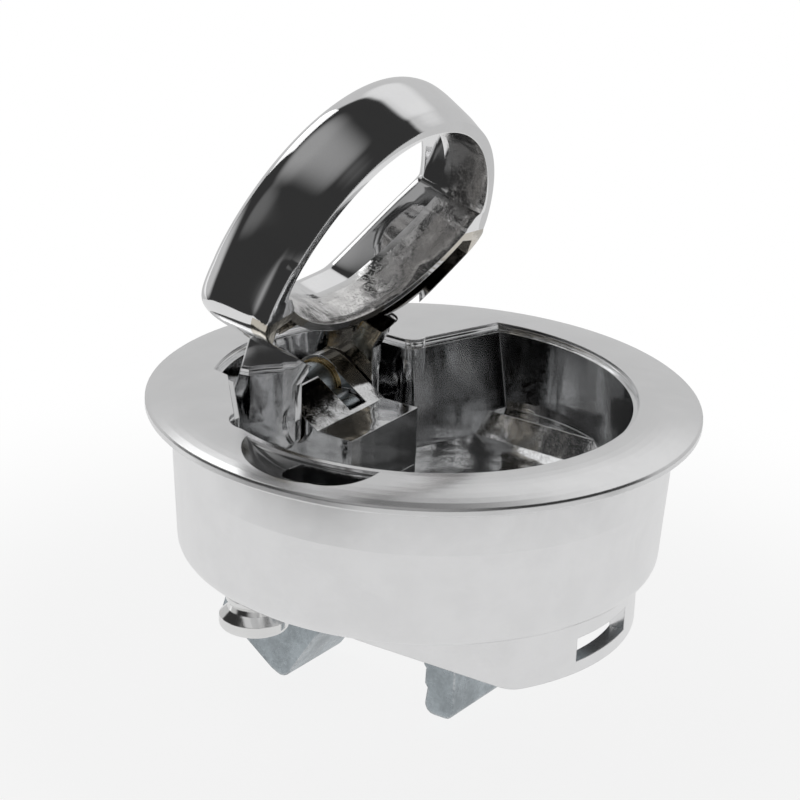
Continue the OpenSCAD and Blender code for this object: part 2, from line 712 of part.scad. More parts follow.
// Flanged nut with a waisted neck that bears on the post under the cup.
module mount_nut(p) {
  r = nut_flange_d / 2;
  color("silver") translate([p[0], p[1], 0]) difference() {
    rotate_extrude() polygon(concat([[0, nut_bottom], [r - 0.8, nut_bottom]],
      arc(r - 0.8, nut_bottom + 0.8, 0.8, -90, 0, 4),
      [[r, nut_z - 0.6], [r - 0.6, nut_z], [r - 1.1, nut_z + 0.5], [r - 1.3, nut_z + 1.2],
       [r - 0.9, nut_z + 1.7], [r - 0.9, nut_z + 2.3], [r - 1.5, nut_z + 2.8],
       [r - 1.4, -body_h], [0, -body_h]]));
    translate([0, 0, nut_bottom - 1]) cylinder(r = mount_screw_d / 2, h = 10);
  }
}

cup_housing();
hinge_bush(-1);  // hinge_bush_near
hinge_bush(1);  // hinge_bush_far
stepped_jaw();
jaw_screw(0);  // jaw_screw_inner
jaw_screw(1);  // jaw_screw_outer
lock_washer(jaw_screw_x[0]);  // jaw_lock_washer_inner
lock_washer(jaw_screw_x[1]);  // jaw_lock_washer_outer
mount_screw(near_screw);  // mount_screw_near
mount_screw(far_screw);  // mount_screw_far
mount_washer(near_screw);  // mount_washer_near
mount_washer(far_screw);  // mount_washer_far
mount_nut(near_screw);  // mount_nut_near
mount_nut(far_screw);  // mount_nut_far
hook_pin();
hook_pin_clip();
ring_handle();
hinge_shaft();
drive_sector();
sector_pin();
friction_shim(-1);  // friction_shim_near
friction_shim(1);  // friction_shim_far
latch_hook();
hook_sleeve();
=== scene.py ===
# %% [markdown]
# # A recessed pull handle with a ring and a geared hook
# The object is a round die-cast cup that sits in a door. A ring handle stands up out of it
# on two legs, and a hook and a stepped jaw hang under it. Almost all of it is plated metal,
# so the lesson is mostly about how metal shows the room around it: what is bright and what
# is dark in the room matters as much as the metal itself.
# The solid parts come from the CAD model.

# %% Load the frame
import json
import math
from collections import namedtuple
import bmesh
import bpy
from mathutils import Matrix, Vector


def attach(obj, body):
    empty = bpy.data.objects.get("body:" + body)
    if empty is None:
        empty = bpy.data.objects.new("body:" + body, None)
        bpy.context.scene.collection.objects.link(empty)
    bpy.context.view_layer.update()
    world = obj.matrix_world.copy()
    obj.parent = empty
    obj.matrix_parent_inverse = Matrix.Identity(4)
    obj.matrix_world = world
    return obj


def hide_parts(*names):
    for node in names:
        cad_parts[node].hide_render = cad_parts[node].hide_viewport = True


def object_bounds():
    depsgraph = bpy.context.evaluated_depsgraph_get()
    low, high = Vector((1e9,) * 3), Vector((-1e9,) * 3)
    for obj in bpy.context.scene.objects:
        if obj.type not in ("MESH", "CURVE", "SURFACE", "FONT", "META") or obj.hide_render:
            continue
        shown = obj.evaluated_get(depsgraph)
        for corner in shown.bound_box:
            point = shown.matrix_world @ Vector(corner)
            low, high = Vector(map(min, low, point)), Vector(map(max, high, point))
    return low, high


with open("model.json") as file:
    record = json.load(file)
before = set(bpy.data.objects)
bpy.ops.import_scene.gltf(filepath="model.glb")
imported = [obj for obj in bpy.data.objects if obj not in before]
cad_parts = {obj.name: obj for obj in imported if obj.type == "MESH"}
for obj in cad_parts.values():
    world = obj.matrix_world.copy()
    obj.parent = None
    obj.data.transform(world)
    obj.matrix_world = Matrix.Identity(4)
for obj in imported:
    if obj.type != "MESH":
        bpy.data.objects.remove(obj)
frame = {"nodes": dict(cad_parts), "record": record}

cad_box = [list(corner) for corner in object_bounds()]
nodes = frame["nodes"]
print("nodes:", len(nodes), "box in mm:", [[round(v * 1000, 1) for v in c] for c in cad_box])

# %% [markdown]
# ## The camera
# A small product is photographed from well back with a long lens, so that its round
# flange doesn't look stretched. Here the camera stands 0.45 m away, 33 degrees round from
# the front and 22 degrees up, with a slight roll, and the lens is about 150 mm.
# Building the camera's matrix from its three directions is the surest way to place it:
# Blender's camera looks along its own -Z, with +X to the right of the picture. The place was
# measured from the top of the flange's outer edge, which is 1.2 mm above the door's face.

# %% The camera at the photograph's angle
MM = 0.001
FLANGE_TOP_Z = 1.2
CAMERA_AWAY = 450
PICTURE_PX, FOCAL_PX, SENSOR_W = 800, 3338.17, 36
look_up = 0.378201552
look_roll = 0.0432085
look_round = math.radians(33)
aim = Vector((-3.285, -4.874, 1.487))


def to_object(v):
    """Turns a direction from the camera's bearing to the object's axes."""
    c, s = math.cos(look_round), math.sin(look_round)
    return Vector((v.x * c - v.y * s, v.x * s + v.y * c, v.z))


back = Vector((0, -math.cos(look_up), math.sin(look_up)))
side = Vector((1, 0, 0))
above = back.cross(side)
c, s = math.cos(look_roll), math.sin(look_roll)
eye = to_object(aim + back * CAMERA_AWAY) + Vector((0, 0, FLANGE_TOP_Z))
axes = [to_object(side * c + above * s), to_object(above * c - side * s), to_object(back)]
lens = bpy.data.cameras.new("camera")
lens.lens = FOCAL_PX / PICTURE_PX * SENSOR_W
lens.sensor_width = SENSOR_W
lens.clip_start = 0.01
lens.clip_end = 20
camera = bpy.data.objects.new("camera", lens)
bpy.context.scene.collection.objects.link(camera)
turn = Matrix((axes[0], axes[1], axes[2])).transposed().to_4x4()
camera.matrix_world = Matrix.Translation(eye * MM) @ turn
bpy.context.scene.camera = camera
print("camera at", [round(v, 4) for v in camera.matrix_world.translation])
print("lens of", round(lens.lens, 1), "mm")

# %% [markdown]
# ## Helpers for shader nodes
# Every material here is a small graph of nodes made in code. Four helpers keep that short:
# one makes an empty material, one adds a node with its settings, one adds a sum or product,
# and one adds a smooth step, which is the softest way to fade one value into another.

# %% Small helpers for shader nodes
def new_material(name):
    m = bpy.data.materials.new(name)
    m.use_nodes = True
    m.node_tree.nodes.clear()
    return m, m.node_tree.nodes, m.node_tree.links


def add(tree_nodes, kind, **settings):
    """A new node. Each setting goes to the input of that name, or else to the node itself."""
    n = tree_nodes.new(kind)
    for key, value in settings.items():
        if key in n.inputs:
            n.inputs[key].default_value = value
        else:
            setattr(n, key, value)
    return n


def math_node(n, l, operation, a, b=None, c=None):
    """A Math node on sockets or plain numbers, and its output socket."""
    m = add(n, "ShaderNodeMath", operation=operation)
    for k, v in enumerate((a, b, c)):
        if v is None:
            continue
        if isinstance(v, (int, float)):
            m.inputs[k].default_value = v
        else:
            l.new(v, m.inputs[k])
    return m.outputs[0]


def ramp_node(n, l, value, low, high, to_low=0.0, to_high=1.0):
    """A smooth step of a value between two limits, and its output socket."""
    r = add(n, "ShaderNodeMapRange", interpolation_type="SMOOTHSTEP")
    for key, v in (("From Min", low), ("From Max", high), ("To Min", to_low), ("To Max", to_high)):
        r.inputs[key].default_value = v
    l.new(value, r.inputs["Value"])
    return r.outputs["Result"]


print("helpers ready")

# %% [markdown]
# ## The floor
# The object stands on a round white card just under its lowest point. A camera ray sees the
# card almost at full white, so that the picture's background is white, and the rest of its
# shader is plain white card, so it still takes the soft shadow and throws light up onto the
# cup. The card is small, because chrome sees past its edge into the dark room, and that
# dark is what draws the black band on the ring.

# %% The floor card
CARD_R, CARD_SIDES, CARD_GAP = 0.135, 96, 0.0005
WHITE = (1, 1, 1, 1)
PAPER = (0.86, 0.86, 0.86, 1)
SHADOW_R, SEEN_BELOW, SEEN_IN_METAL = 0.06, 0.86, 0.68
floor_z = cad_box[0][2] - CARD_GAP
sheet = bmesh.new()
bmesh.ops.create_circle(sheet, cap_ends=True, segments=CARD_SIDES, radius=CARD_R,
                        matrix=Matrix.Translation((0, 0, floor_z)))
floor_mesh = bpy.data.meshes.new("floor")
sheet.to_mesh(floor_mesh)
sheet.free()
floor = bpy.data.objects.new("floor", floor_mesh)
bpy.context.scene.collection.objects.link(floor)
card, n, l = new_material("floor_card")
seen = add(n, "ShaderNodeLightPath")
place = add(n, "ShaderNodeTexCoord")
reach = add(n, "ShaderNodeVectorMath", operation="LENGTH")
l.new(place.outputs["Object"], reach.inputs[0])
fade = ramp_node(n, l, reach.outputs["Value"], SHADOW_R, CARD_R, SEEN_BELOW, 1.0)
to_eye = math_node(n, l, "MULTIPLY", seen.outputs["Is Camera Ray"], fade)
to_metal = math_node(n, l, "MULTIPLY", seen.outputs["Is Glossy Ray"], SEEN_IN_METAL)
paper = add(n, "ShaderNodeBsdfDiffuse", Color=PAPER)
white = add(n, "ShaderNodeEmission", Color=WHITE, Strength=1.0)
blend = add(n, "ShaderNodeMixShader")
out = add(n, "ShaderNodeOutputMaterial")
l.new(math_node(n, l, "MAXIMUM", to_eye, to_metal), blend.inputs["Fac"])
l.new(paper.outputs[0], blend.inputs[1])
l.new(white.outputs[0], blend.inputs[2])
l.new(blend.outputs[0], out.inputs["Surface"])
floor.data.materials.append(card)
print("floor at", round(floor_z * 1000, 1), "mm")

# %% [markdown]
# ## The room
# Chrome shows the room and nothing else, so the room is drawn first and the metal after it.
# A bright wall stands behind the object and ends in a sharp upper edge, and that edge is the
# border between the light dome of the ring and its dark band. The side walls are softer, a
# low glow in front lights the cup's body, and a faint one overhead greys the band. The rest
# is dark. The world holds all of it as smooth patches around a few directions, which needs
# no lamps and no picture of a room.

# %% The room as a world shader
world = bpy.data.worlds.new("room")
bpy.context.scene.world = world
world.use_nodes = True
n, l = world.node_tree.nodes, world.node_tree.links
n.clear()
where = add(n, "ShaderNodeTexCoord")


def compass(azimuth, height):
    """A direction from the object: azimuth as for the camera, and degrees above level."""
    a, h = math.radians(azimuth), math.radians(height)
    return Vector((math.sin(a) * math.cos(h), -math.cos(a) * math.cos(h), math.sin(h)))


Patch = namedtuple("Patch", "azimuth height outer inner strength")


def room_patch(patch):
    """A bright patch around a direction: full inside one angle, nothing beyond the other."""
    dot = add(n, "ShaderNodeVectorMath", operation="DOT_PRODUCT")
    dot.inputs[1].default_value = compass(patch.azimuth, patch.height)
    l.new(where.outputs["Generated"], dot.inputs[0])
    level = ramp_node(n, l, dot.outputs["Value"], math.cos(math.radians(patch.outer)),
                      math.cos(math.radians(patch.inner)), 0.0, patch.strength)
    glow = add(n, "ShaderNodeBackground", Color=WHITE)
    l.new(level, glow.inputs["Strength"])
    return glow


# %% [markdown]
# Each patch of the room has its bearing and height in degrees, the angle where it ends, the
# angle where it is full, and its strength. Their sum is what metal and lamps see. The camera
# itself sees plain white, as a cut-out product picture has it.

# %% The patches of the room
ROOM = {
    "back wall": Patch(205, -22, 79, 74, 0.54),
    "high wall": Patch(190, 38, 18, 8, 0.22),
    "right wall": Patch(92, 5, 40, 30, 0.50),
    "left wall": Patch(294, 0, 32, 12, 0.50),
    "front glow": Patch(-14, 38, 20, 4, 0.10),
    "overhead glow": Patch(-10, 80, 30, 6, 0.30),
    "front low": Patch(36, -16, 42, 14, 0.52),
}
DARK_ROOM = 0.035
total = add(n, "ShaderNodeBackground", Color=WHITE, Strength=DARK_ROOM)
for patch in ROOM.values():
    both = add(n, "ShaderNodeAddShader")
    l.new(total.outputs[0], both.inputs[0])
    l.new(room_patch(patch).outputs[0], both.inputs[1])
    total = both
sky = add(n, "ShaderNodeBackground", Color=WHITE, Strength=1.0)
seen = add(n, "ShaderNodeLightPath")
pick = add(n, "ShaderNodeMixShader")
out = add(n, "ShaderNodeOutputWorld")
l.new(seen.outputs["Is Camera Ray"], pick.inputs["Fac"])
l.new(total.outputs[0], pick.inputs[1])
l.new(sky.outputs[0], pick.inputs[2])
l.new(pick.outputs[0], out.inputs["Surface"])
print("room:", ", ".join(ROOM))

# %% [markdown]
# ## A lamp
# One weak soft box on the left adds what the room can't: a soft shadow under the flange and
# a little shape on the hook and the jaw. It is large for the size of the object, so that no
# shadow is hard.

# %% A soft box
def soft_box(name, azimuth, height, distance, size, power):
    lamp = bpy.data.lights.new(name, "AREA")
    lamp.shape = "RECTANGLE"
    lamp.size = lamp.size_y = size
    lamp.energy = power
    o = bpy.data.objects.new(name, lamp)
    bpy.context.scene.collection.objects.link(o)
    o.location = compass(azimuth, height) * distance
    o.rotation_euler = (-o.location).to_track_quat("-Z", "Y").to_euler()
    return o


key = soft_box("key_box", azimuth=255, height=48, distance=0.60, size=0.30, power=0.32)
print("key box at", [round(v, 2) for v in key.location])

# %% [markdown]
# ## Layers of a finish
# All finishes are metals, told apart by roughness, tint and what the surface under the
# plating looks like. A finish is built up in layers, and each layer is a small function that
# takes what lies under it and gives the new value back. Noise in the object's own
# coordinates needs no unwrapping and follows the piece when it moves.

# %% Noise, mixing and painted edge highlights
# The lighter colour that is painted along edges as a highlight.
EDGE_HIGHLIGHT_TINT = (0.80, 0.81, 0.82)
EDGE_TURN, EDGE_FULL = 0.998, 0.93


def noise(n, l, place, scale, detail, roughness):
    t = add(n, "ShaderNodeTexNoise", Scale=scale, Detail=detail, Roughness=roughness)
    l.new(place, t.inputs["Vector"])
    return t.outputs["Fac"]


def mix_color(n, l, share, low, high):
    """A colour between two. Each is a socket or three plain numbers."""
    mix = add(n, "ShaderNodeMix", data_type="RGBA")
    l.new(share, mix.inputs["Factor"])
    for socket, v in ((mix.inputs[6], low), (mix.inputs[7], high)):
        if isinstance(v, tuple):
            socket.default_value = (*v, 1)
        else:
            l.new(v, socket)
    return mix.outputs[2]


def mix_value(n, l, share, low, high):
    """A value between a socket and a plain number."""
    mix = add(n, "ShaderNodeMix", data_type="FLOAT")
    l.new(share, mix.inputs["Factor"])
    l.new(low, mix.inputs[2])
    mix.inputs[3].default_value = high
    return mix.outputs[0]


def painted_edge_highlights(n, l, color, rounded, speckle, amount):
    """Painted highlight in patches along the edges, where the rounded normal leaves the real one.
    """
    turned = add(n, "ShaderNodeVectorMath", operation="DOT_PRODUCT")
    l.new(rounded, turned.inputs[0])
    l.new(add(n, "ShaderNodeNewGeometry").outputs["Normal"], turned.inputs[1])
    on_edge = ramp_node(n, l, turned.outputs["Value"], EDGE_TURN, EDGE_FULL, 0.0, amount)
    patchy = ramp_node(n, l, speckle, 0.42, 0.56)
    return mix_color(n, l, math_node(n, l, "MULTIPLY", on_edge, patchy), color, EDGE_HIGHLIGHT_TINT)


print("layers ready")

# %% [markdown]
# A plated casting is mirror-like where it was polished, and keeps the skin of the mould where
# no tool reached: fine bumps that glitter, over slow waves that break a reflection into
# streaks. A Skin names where that is, as a share between 0 and 1, and how it differs. Inside
# a hollow, shade is painted in as a darker, browner tint.

# %% The skin of a casting
# The last two fields are a mask and a darker, browner colour that paint shade into a hollow.
Skin = namedtuple("Skin", "share tint rough bumps wave upright deep deep_tint",
                  defaults=(None, None))
SWELL_SCALE, SWELL_DETAIL, SWELL_ROUGHNESS = 160, 1.5, 0.45


def skin_relief(n, l, place, fine, skin):
    """Height of the mould's skin. skin.upright below 1 draws its waves out along Z."""
    stretch = add(n, "ShaderNodeMapping", Scale=(1, 1, skin.upright))
    l.new(place, stretch.inputs["Vector"])
    swell = noise(n, l, stretch.outputs["Vector"], SWELL_SCALE, SWELL_DETAIL, SWELL_ROUGHNESS)
    bumps = ramp_node(n, l, fine, 0.50, 0.70)
    return math_node(n, l, "MULTIPLY_ADD", bumps, skin.bumps,
                     math_node(n, l, "MULTIPLY", swell, skin.wave))


print("skin:", ", ".join(Skin._fields))

# %% [markdown]
# ## A metal
# The colour is mottled by a cloudy noise with a little of the fine grain in it, and the
# roughness by a hazy one, because no real finish is even. Edges of real pieces are never
# sharp, so a Bevel node rounds how each edge reflects, and the grain is laid over that.

# %% A metal with its grain, its skin and its edges
CLOUD, HAZE, FINE = (160, 4, 0.6), (420, 5, 0.65), (3, 0.7)
FINE_SHARE = 0.3
BUMP_DEPTH = 0.6
LEAST_ROUGH = 0.02


def metal(name, tint, rough, spread=0.04, grain=0.0, grain_size=0.00035, mottle=0.04,
          edge=0.00018, painted_edge_light=0.0, skin=None):
    """spread is how far roughness varies, and mottle how far the colour does. grain is how
    strongly the fine grain shows in the relief, and edge the radius that edges reflect with."""
    m, n, l = new_material(name)
    place = add(n, "ShaderNodeTexCoord").outputs["Object"]
    cloud = noise(n, l, place, *CLOUD)
    haze = noise(n, l, place, *HAZE)
    fine = noise(n, l, place, 0.5 / grain_size, *FINE)
    speckle = math_node(n, l, "MULTIPLY_ADD", fine, FINE_SHARE,
                        math_node(n, l, "MULTIPLY", cloud, 1 - FINE_SHARE))
    color = mix_color(n, l, ramp_node(n, l, speckle, 0.36, 0.64),
                      tuple(v * (1 - mottle) for v in tint), tint)
    polish = ramp_node(n, l, haze, 0.25, 0.75, max(LEAST_ROUGH, rough - spread), rough + spread)
    height = math_node(n, l, "MULTIPLY", fine, grain)
    rounded = add(n, "ShaderNodeBevel", samples=4, Radius=edge).outputs["Normal"]
    if skin:
        share = skin.share(n, l)
        color = mix_color(n, l, share, color, skin.tint)
        # Painted shade: a darker, browner colour where the mask marks a hollow.
        if skin.deep:
            color = mix_color(n, l, skin.deep(n, l), color, skin.deep_tint)
        polish = mix_value(n, l, share, polish, skin.rough)
        relief = skin_relief(n, l, place, fine, skin)
        height = math_node(n, l, "MULTIPLY_ADD", relief, share, height)
    # Painted highlight: lighter patches along the edges.
    if painted_edge_light:
        color = painted_edge_highlights(n, l, color, rounded, speckle, painted_edge_light)
    bump = add(n, "ShaderNodeBump", Strength=1.0, Distance=grain_size * BUMP_DEPTH)
    l.new(height, bump.inputs["Height"])
    l.new(rounded, bump.inputs["Normal"])
    body = add(n, "ShaderNodeBsdfPrincipled", Metallic=1.0)
    out = add(n, "ShaderNodeOutputMaterial")
    l.new(color, body.inputs["Base Color"])
    l.new(polish, body.inputs["Roughness"])
    l.new(bump.outputs["Normal"], body.inputs["Normal"])
    l.new(body.outputs["BSDF"], out.inputs["Surface"])
    return m


print("metal ready")

# %% [markdown]
# On the cup only the inside keeps the mould's skin, and its place is simple to say: within
# the small step around the opening, and above the floor's underside. The ring is marked on
# its mesh instead, further down, as its skin follows the shape.

# %% Where the castings are rough
CUP_EDGE_R, CUP_FADE_R = 0.0308, 0.0300
CUP_TOP_Z, CUP_FULL_Z = 0.0021, 0.0016
CUP_UNDER_Z, CUP_FLOOR_Z = -0.0142, -0.0135


def on_mesh(attribute):
    """A share that is written on the mesh under this name."""
    return lambda n, l: add(n, "ShaderNodeAttribute", attribute_name=attribute).outputs["Fac"]


def cup_inside(n, l):
    """Full inside the cup, nothing on the flange and the outer body."""
    place = add(n, "ShaderNodeTexCoord").outputs["Object"]
    xyz = add(n, "ShaderNodeSeparateXYZ")
    l.new(place, xyz.inputs[0])
    x2 = math_node(n, l, "MULTIPLY", xyz.outputs["X"], xyz.outputs["X"])
    r2 = math_node(n, l, "MULTIPLY_ADD", xyz.outputs["Y"], xyz.outputs["Y"], x2)
    inward = ramp_node(n, l, math_node(n, l, "SQRT", r2), CUP_EDGE_R, CUP_FADE_R)
    low = ramp_node(n, l, xyz.outputs["Z"], CUP_TOP_Z, CUP_FULL_Z)
    above_floor = ramp_node(n, l, xyz.outputs["Z"], CUP_UNDER_Z, CUP_FLOOR_Z)
    return math_node(n, l, "MULTIPLY", math_node(n, l, "MULTIPLY", inward, low), above_floor)


cup_skin = Skin(cup_inside, (0.80, 0.805, 0.81), 0.085, bumps=0.04, wave=4.0, upright=0.2)
# In the ring's hollow, a darker, browner tint is painted in as shade.
ring_skin = Skin(on_mesh("cast"), (0.78, 0.77, 0.76), 0.12, bumps=0.14, wave=9.0, upright=0.6,
                 deep=on_mesh("neck"), deep_tint=(0.60, 0.56, 0.49))
print("roughness of the skins:", cup_skin.rough, ring_skin.rough)

# %% [markdown]
# ## The six finishes
# The cup is satin chrome, so that it hides finger marks, and the ring is bright chrome. The
# hook, the jaw and the sector that drives the hook are zinc-plated steel, blue-grey and
# mottled, with a lighter painted highlight along their edges. The screws, nuts, flat washers
# and the shaft are nickel-plated, the small clips, pins and shims spring steel, and the bushes
# brass.

# %% Finishes, and one for each CAD node
CHROME = (0.88, 0.88, 0.885)
finishes = {
    "satin_chrome": metal("satin_chrome", CHROME, 0.20, 0.015, grain=0.006,
                          grain_size=0.00018, skin=cup_skin),
    "bright_chrome": metal("bright_chrome", CHROME, 0.05, 0.015, grain_size=0.00018,
                           skin=ring_skin),
    # The hook and the jaw carry a painted highlight along their edges.
    "zinc_steel": metal("zinc_steel", (0.47, 0.52, 0.55), 0.30, 0.08, grain=0.16,
                        grain_size=0.00025, mottle=0.36, edge=0.0005, painted_edge_light=0.9),
    "nickel_steel": metal("nickel_steel", (0.86, 0.86, 0.855), 0.11, 0.04, grain=0.05,
                          grain_size=0.0002),
    "spring_steel": metal("spring_steel", (0.30, 0.30, 0.32), 0.35, 0.08, grain=0.10),
    "brass": metal("brass", (0.80, 0.60, 0.30), 0.25, 0.06, grain=0.08),
}
slots = {p["node"]: p["material_slot"] for p in frame["record"]["subparts"]}
for name, o in nodes.items():
    o.data.materials.clear()
    o.data.materials.append(finishes[slots[name]])
print("finishes:", sorted(finishes))

# %% [markdown]
# ## The ring
# The ring is one casting: a loop whose section swells into a dome on top, two flanks that
# draw in to the hinge, and two legs. The maker polishes the outside to a mirror and leaves
# the inner side of the loop as it came from the mould. A mirror shows every facet, so the
# CAD model's ring is replaced by a much finer mesh of the same form: an outline of the
# loop in polar form, and a section that is swept around it and fitted to its width.

# %% Sizes of the ring, in millimetres as it lies closed
HINGE = Vector((-20.9, 0, -3.4))
RAISE = math.radians(72)
TOP, RIM = 1.8, -9.5
RING_R, HOLE_R, HOLE_TOP_R = 28.0, 24.0, 22.9
HOLE_X0, HOLE_FLAT_R, HOLE_MID_X = -3.4, 34.0, 6.0
NECK_X, FUNNEL_A, FUNNEL_D = -11.0, 32.3, 14.6
HOLE_FUNNEL_A, HOLE_FUNNEL_D = 27.9, 5.0
TIP_A, TIP_RECESS, RIDGE_W, RIDGE_H = 91, 0.4, 4, 0.5
print("ring of radius", RING_R, "raised by", round(math.degrees(RAISE)), "degrees")

# %% [markdown]
# Seen from above, each outline of the ring is made of circles and straight lines. From a
# point in the hole, the distance to each of them has a short formula. A soft minimum takes
# the nearest one and rounds the corner where two meet, as a casting has it, and a higher
# power makes that corner tighter. The hole is smaller at the top than at the rim, so its
# wall leans in as it rises.

# %% Outlines as distances from a point in the hole
FACING, OUT_OF_REACH = 0.02, 1000
OUTER_POWER, HOLE_POWER, TOP_POWER = 20, 18, 40
TIP_FADE_A, RIDGE_FADE_A = 1, 2


def to_circle(cx, r, a):
    """Distance at angle a to a circle around (cx, 0)."""
    dx = cx - HOLE_MID_X
    return dx * math.cos(a) + math.sqrt(r * r - (dx * math.sin(a)) ** 2)


def to_edge(normal, d, a):
    """Distance at angle a to a straight line at d from the origin, or far off if it's behind."""
    c = math.cos(math.radians(normal) - a)
    if c <= FACING:
        return OUT_OF_REACH
    return (d - HOLE_MID_X * math.cos(math.radians(normal))) / c


def soft_min(values, power):
    return sum(v ** -power for v in values) ** (-1 / power)


def step(x, low, high):
    """A smooth step from 0 to 1 between two limits."""
    t = min(1, max(0, (x - low) / (high - low)))
    return t * t * (3 - 2 * t)


def ring_out(a):
    return soft_min([to_circle(0, RING_R, a), to_edge(180 + FUNNEL_A, FUNNEL_D, a),
                     to_edge(180 - FUNNEL_A, FUNNEL_D, a), to_edge(180, -NECK_X, a)], OUTER_POWER)


def hole_at_rim(a):
    """The hole at the rim: set back a little round the far half, with a low ridge after it."""
    b = abs(math.degrees(a))
    past_tip = step(b, TIP_A - TIP_FADE_A, TIP_A)
    past_ridge = step(b, TIP_A + RIDGE_W, TIP_A + RIDGE_W + RIDGE_FADE_A)
    recess = TIP_RECESS * (1 - past_tip) - RIDGE_H * past_tip * (1 - past_ridge)
    return recess + soft_min([to_circle(0, HOLE_R, a),
                              to_circle(HOLE_X0 + HOLE_FLAT_R, HOLE_FLAT_R, a)], HOLE_POWER)


def hole_at_top(a):
    return soft_min([to_circle(0, HOLE_TOP_R, a), to_edge(180 + HOLE_FUNNEL_A, HOLE_FUNNEL_D, a),
                     to_edge(180 - HOLE_FUNNEL_A, HOLE_FUNNEL_D, a), to_edge(180, -HOLE_X0, a)],
                    TOP_POWER)


print("band at the far tip:", round(ring_out(0) - hole_at_rim(0), 2), "mm wide")

# %% [markdown]
# ## The ring's section
# The section gives the ring its look: a full dome that turns over softly to both sides, an
# outer wall that draws in below it, and a small foot at the rim. A few points are enough to
# draw it, with a smooth curve through them. Where the band is narrow, the parts near its
# two sides shrink with it. Near the hinge the foot spreads into a lip.

# %% A section from the hole's wall over the dome to the rim
CURVE_STEPS = 4
DOME_W = 4.2
FOOT_IN, LIP_W = 1.75, 0.4


def through(points):
    """A smooth curve through points, with CURVE_STEPS short pieces from each to the next."""
    curve = []
    last = len(points) - 1
    for i in range(last):
        p0, p1, p2, p3 = (points[k] for k in (max(0, i - 1), i, i + 1, min(last, i + 2)))
        for j in range(CURVE_STEPS):
            f = j / CURVE_STEPS
            curve.append(tuple(0.5 * (2 * p1[c] + (p2[c] - p0[c]) * f
                                      + (2 * p0[c] - 5 * p1[c] + 4 * p2[c] - p3[c]) * f * f
                                      + (3 * p1[c] - p0[c] - 3 * p2[c] + p3[c]) * f ** 3)
                               for c in (0, 1)))
    return curve + [points[-1]]


def ring_section(w, t, flare):
    """w is the width at the rim, t how far the wall leans in on its way up, and flare is 1
    where the rim spreads to a lip. Points are (distance from the hole's edge, height)."""
    k = min(1, w / DOME_W)
    wall = [(-t * 0.1, RIM + 1.2), (-t * 0.5, RIM + 5.7), (-t * 0.85, TOP - 2)]
    dome = [(0.1 * k - t * 0.95, TOP - 1.2), (0.6 * k - t, TOP - 0.5), (1.5 * k - t, TOP - 0.12),
            ((w - t) / 2 - 0.4 * k, TOP + 0.05), (w - 2.6 * k, TOP - 0.05),
            (w - 1.3 * k, TOP - 0.35), (w - 0.45 * k, TOP - 1.1), (w, TOP - 2.4)]
    side = [(w - 0.05, TOP - 3.8), (w - 0.32, TOP - 5.4), (w - 0.92, RIM + 3),
            (w - 1.2, RIM + 2), (w - 1.48 + 0.1 * flare, RIM + 1.1)]
    out_w = w - FOOT_IN + LIP_W * flare
    foot = [(out_w, RIM + 0.2), (out_w - 0.06, RIM + 0.05), (out_w - 0.2, RIM)]
    return [(0.25 * k, RIM), (0.05 * k, RIM + 0.35)] + through(wall + dome + side) + foot


print("points in a section:", len(ring_section(DOME_W, 1, 0)))

# %% [markdown]
# The section is carried round the loop in small even steps, and each one is joined to the
# next by a row of four-sided faces. A mirror needs this many: with fewer, the edge of a
# reflection would run in visible corners.

# %% The loop's mesh
LOOP_STEPS = 540
NEAR_FLARE_X, FAR_FLARE_X, FLARE_FADE = 12.0, 2.5, 1.0


def loop_section(a):
    """The section at angle a, as points of the closed ring."""
    r = hole_at_rim(a)
    w = ring_out(a) - r
    x = HOLE_MID_X + (r + w) * math.cos(a)
    flare_x = NEAR_FLARE_X if a < 0 else FAR_FLARE_X
    flare = 1 - step(x, flare_x - FLARE_FADE, flare_x)
    return [(HOLE_MID_X + (r + u) * math.cos(a), (r + u) * math.sin(a), z)
            for u, z in ring_section(w, r - hole_at_top(a), flare)]


def loop_mesh():
    points, faces = [], []
    for i in range(LOOP_STEPS):
        a = 2 * math.pi * i / LOOP_STEPS
        points += loop_section(a - 2 * math.pi if a > math.pi else a)
    count = len(points) // LOOP_STEPS
    for i in range(LOOP_STEPS):
        i2 = (i + 1) % LOOP_STEPS
        for j in range(count):
            j2 = (j + 1) % count
            faces.append((i * count + j, i2 * count + j, i2 * count + j2, i * count + j2))
    mesh = bpy.data.meshes.new("ring_loop")
    mesh.from_pydata(points, [], faces)
    return mesh


ring = bpy.data.objects.new("ring_casting", loop_mesh())
bpy.context.scene.collection.objects.link(ring)
print("loop faces:", len(ring.data.polygons))

# %% [markdown]
# ## Cutting and joining
# The rest of the casting is made as the CAD model has it: flat outlines are pushed into
# solids, and an exact Boolean joins each to the ring or cuts it out. Boolean solids are the
# right way here, because the legs and the hollow meet the curved loop in edges that would be
# hard to draw.

# %% Helpers for solids
def plate(points, lift, depth, upright=False):
    """A flat outline in X and Y pushed up by depth, or upright, in X and Z, pushed along Y."""
    b = bmesh.new()
    place = (lambda u, v, w: (u, w, v)) if upright else (lambda u, v, w: (u, v, w))
    face = b.faces.new([b.verts.new(place(u, v, lift)) for u, v in points])
    pushed = bmesh.ops.extrude_face_region(b, geom=[face])["geom"]
    moved = [g for g in pushed if isinstance(g, bmesh.types.BMVert)]
    bmesh.ops.translate(b, vec=Vector(place(0, 0, depth)), verts=moved)
    bmesh.ops.recalc_face_normals(b, faces=b.faces)
    return b


def arc(cx, cz, r, start, stop, n):
    """n + 1 points on a circle, between two angles in degrees."""
    return [(cx + r * math.cos(math.radians(start + (stop - start) * i / n)),
             cz + r * math.sin(math.radians(start + (stop - start) * i / n)))
            for i in range(n + 1)]


